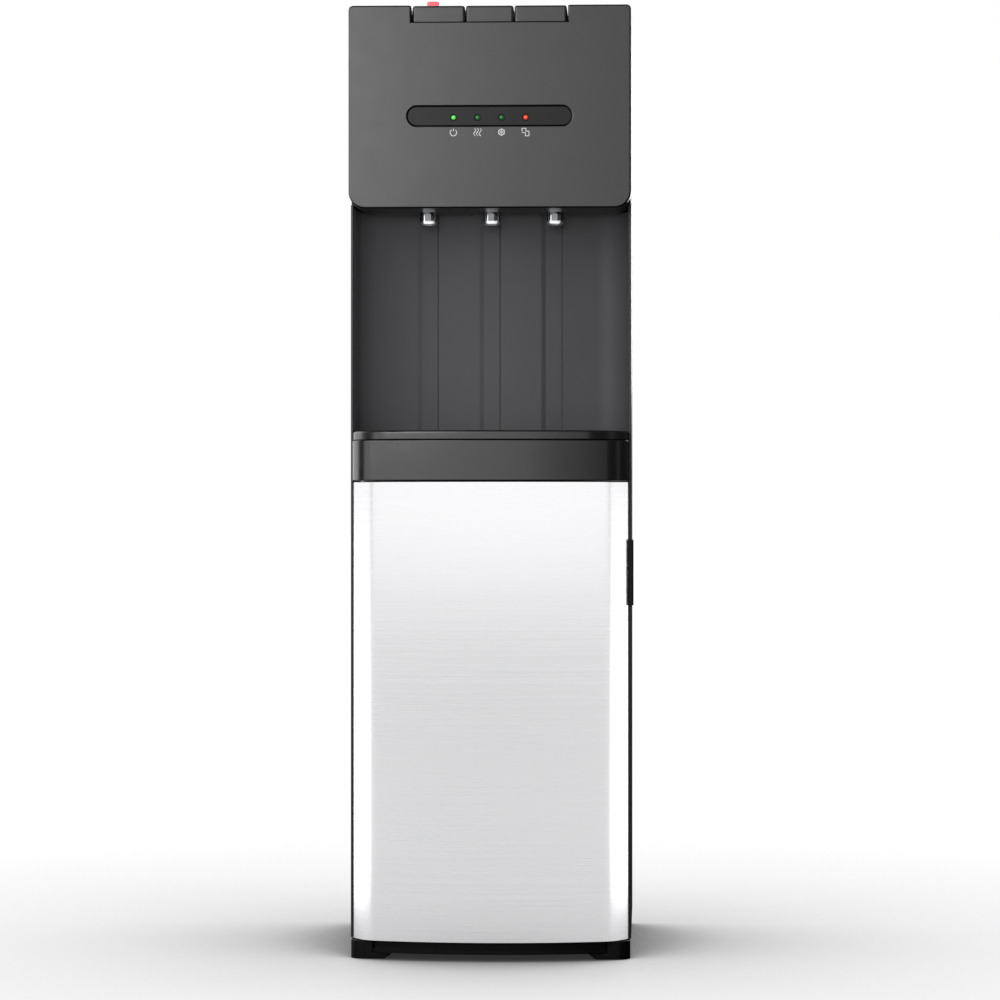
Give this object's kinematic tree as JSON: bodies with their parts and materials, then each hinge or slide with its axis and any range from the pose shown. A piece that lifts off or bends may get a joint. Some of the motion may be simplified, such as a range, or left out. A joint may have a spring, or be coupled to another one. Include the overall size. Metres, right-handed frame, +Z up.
{
  "type": "bottom-loading water dispenser",
  "caption": "Floor-standing bottom-loading water dispenser with hot, room and cold taps, push buttons, drip tray and a bowed steel door over the bottle bay.",
  "frame": {"origin": "on the floor, at the middle of the cabinet's footprint", "axes": "+Z up, -Y towards the door and taps, +X towards the side with the door's handle"},
  "size_m": [0.3105, 0.36, 1.045],
  "materials": {
    "charcoal_plastic": "fine-textured moulded plastic, satin",
    "bay_plastic": "moulded plastic, satin",
    "black_plastic": "black moulded plastic",
    "cabinet_paint": "powder-coated steel, fine orange peel",
    "door_steel": "brushed stainless steel, grain across the door",
    "zinc_sheet": "zinc-coated sheet",
    "tap_chrome": "bright plated",
    "tank_steel": "stainless steel",
    "foam_shell": "moulded insulating foam",
    "compressor_paint": "gloss black enamel",
    "strip_window": "smoked glossy window",
    "circuit_board": "solder-mask green",
    "lamp_green": "lit green lens",
    "lamp_green_dim": "dim green lens",
    "lamp_red": "lit red lens",
    "lock_red": "translucent red",
    "white_plastic": "natural nylon",
    "silicone_hose": "milky food-grade silicone",
    "switch_red": "red rocker",
    "switch_green": "green rocker"
  },
  "bodies": {
    "cabinet": {"base": "black_plastic", "foot_front_left": "black_plastic", "foot_front_right": "black_plastic", "foot_rear_left": "black_plastic", "foot_rear_right": "black_plastic", "side_panel_left": "cabinet_paint", "side_panel_right": "cabinet_paint", "rear_panel": "cabinet_paint", "mid_deck": "zinc_sheet", "tank_shelf": "zinc_sheet", "tray_shelf": "bay_plastic", "alcove_liner": "bay_plastic", "fascia": "charcoal_plastic", "indicator_window": "strip_window", "indicator_board": "circuit_board", "led_power": "lamp_green", "led_heating": "lamp_green_dim", "led_cooling": "lamp_green_dim", "led_bottle_empty": "lamp_red", "head_shell": "bay_plastic", "top_cover": "charcoal_plastic", "tap_hot": "tap_chrome", "tap_room": "tap_chrome", "tap_cold": "tap_chrome", "button_axle": "tank_steel", "cold_tank": "foam_shell", "hot_tank": "tank_steel", "compressor": "compressor_paint", "condenser": "compressor_paint", "water_pump": "black_plastic", "control_box": "black_plastic", "suction_probe": "tank_steel", "riser_hose": "silicone_hose", "feed_hose": "silicone_hose", "hot_hose": "silicone_hose", "room_hose": "silicone_hose", "cold_hose": "silicone_hose", "power_inlet": "black_plastic", "switch_block": "black_plastic", "drain_spout": "white_plastic", "hinge_pin_lower": "tank_steel", "hinge_pin_upper": "tank_steel"},
    "door": {"door_skin": "door_steel", "door_liner": "black_plastic", "door_handle": "black_plastic"},
    "drip_tray": {"drip_tray": "bay_plastic"},
    "drip_grille": {"drip_grille": "bay_plastic"},
    "child_lock": {"child_lock": "lock_red"},
    "heat_switch": {"heat_switch": "switch_red"},
    "cool_switch": {"cool_switch": "switch_green"},
    "drain_cap": {"drain_cap": "black_plastic"},
    "button_hot": {"button_hot": "charcoal_plastic", "button_spring_hot": "tank_steel"},
    "push_rod_hot": {"push_rod_hot": "white_plastic"},
    "button_room": {"button_room": "charcoal_plastic", "button_spring_room": "tank_steel"},
    "push_rod_room": {"push_rod_room": "white_plastic"},
    "button_cold": {"button_cold": "charcoal_plastic", "button_spring_cold": "tank_steel"},
    "push_rod_cold": {"push_rod_cold": "white_plastic"}
  },
  "joints": [
    {"name": "door_hinge", "type": "hinge", "parent": "cabinet", "child": "door", "pos_m": [-0.139, -0.142, 0.271], "axis": [0, 0, -1], "range_deg": [0, 110]},
    {"name": "drip_tray_lift", "type": "slide", "parent": "cabinet", "child": "drip_tray", "axis": [0, 0, 1], "range_m": [0, 0.06]},
    {"name": "drip_grille_lift", "type": "slide", "parent": "drip_tray", "child": "drip_grille", "axis": [0, 0, 1], "range_m": [0, 0.05]},
    {"name": "button_hot_press", "type": "hinge", "parent": "cabinet", "child": "button_hot", "pos_m": [-0.056, -0.092, 1.0315], "axis": [1, 0, 0], "range_deg": [0, 6], "stiffness_Nm_per_rad": 0.8, "springref_deg": -5.73, "deforming": ["button_spring_hot"]},
    {"name": "push_rod_hot_slide", "type": "slide", "parent": "cabinet", "child": "push_rod_hot", "axis": [0, 0, -1], "range_m": [0, 0.0021]},
    {"name": "button_room_press", "type": "hinge", "parent": "cabinet", "child": "button_room", "pos_m": [0, -0.092, 1.0315], "axis": [1, 0, 0], "range_deg": [0, 6], "stiffness_Nm_per_rad": 0.8, "springref_deg": -5.73, "deforming": ["button_spring_room"]},
    {"name": "push_rod_room_slide", "type": "slide", "parent": "cabinet", "child": "push_rod_room", "axis": [0, 0, -1], "range_m": [0, 0.0021]},
    {"name": "button_cold_press", "type": "hinge", "parent": "cabinet", "child": "button_cold", "pos_m": [0.056, -0.092, 1.0315], "axis": [1, 0, 0], "range_deg": [0, 6], "stiffness_Nm_per_rad": 0.8, "springref_deg": -5.73, "deforming": ["button_spring_cold"]},
    {"name": "push_rod_cold_slide", "type": "slide", "parent": "cabinet", "child": "push_rod_cold", "axis": [0, 0, -1], "range_m": [0, 0.0021]},
    {"name": "child_lock_slide", "type": "slide", "parent": "button_hot", "child": "child_lock", "axis": [0, 1, 0], "range_m": [0, 0.006]},
    {"name": "heat_switch_rock", "type": "hinge", "parent": "cabinet", "child": "heat_switch", "pos_m": [0.095, 0.1682, 0.96], "axis": [-1, 0, 0], "range_deg": [0, 18]},
    {"name": "cool_switch_rock", "type": "hinge", "parent": "cabinet", "child": "cool_switch", "pos_m": [0.113, 0.1682, 0.96], "axis": [-1, 0, 0], "range_deg": [0, 18]},
    {"name": "drain_cap_pull", "type": "slide", "parent": "cabinet", "child": "drain_cap", "axis": [0, 1, 0], "range_m": [0, 0.012]}
  ],
  "couplings": [
    {"joint": "push_rod_hot_slide", "follows": "button_hot_press", "m_per_rad": 0.0195},
    {"joint": "push_rod_room_slide", "follows": "button_room_press", "m_per_rad": 0.0195},
    {"joint": "push_rod_cold_slide", "follows": "button_cold_press", "m_per_rad": 0.0195}
  ]
}
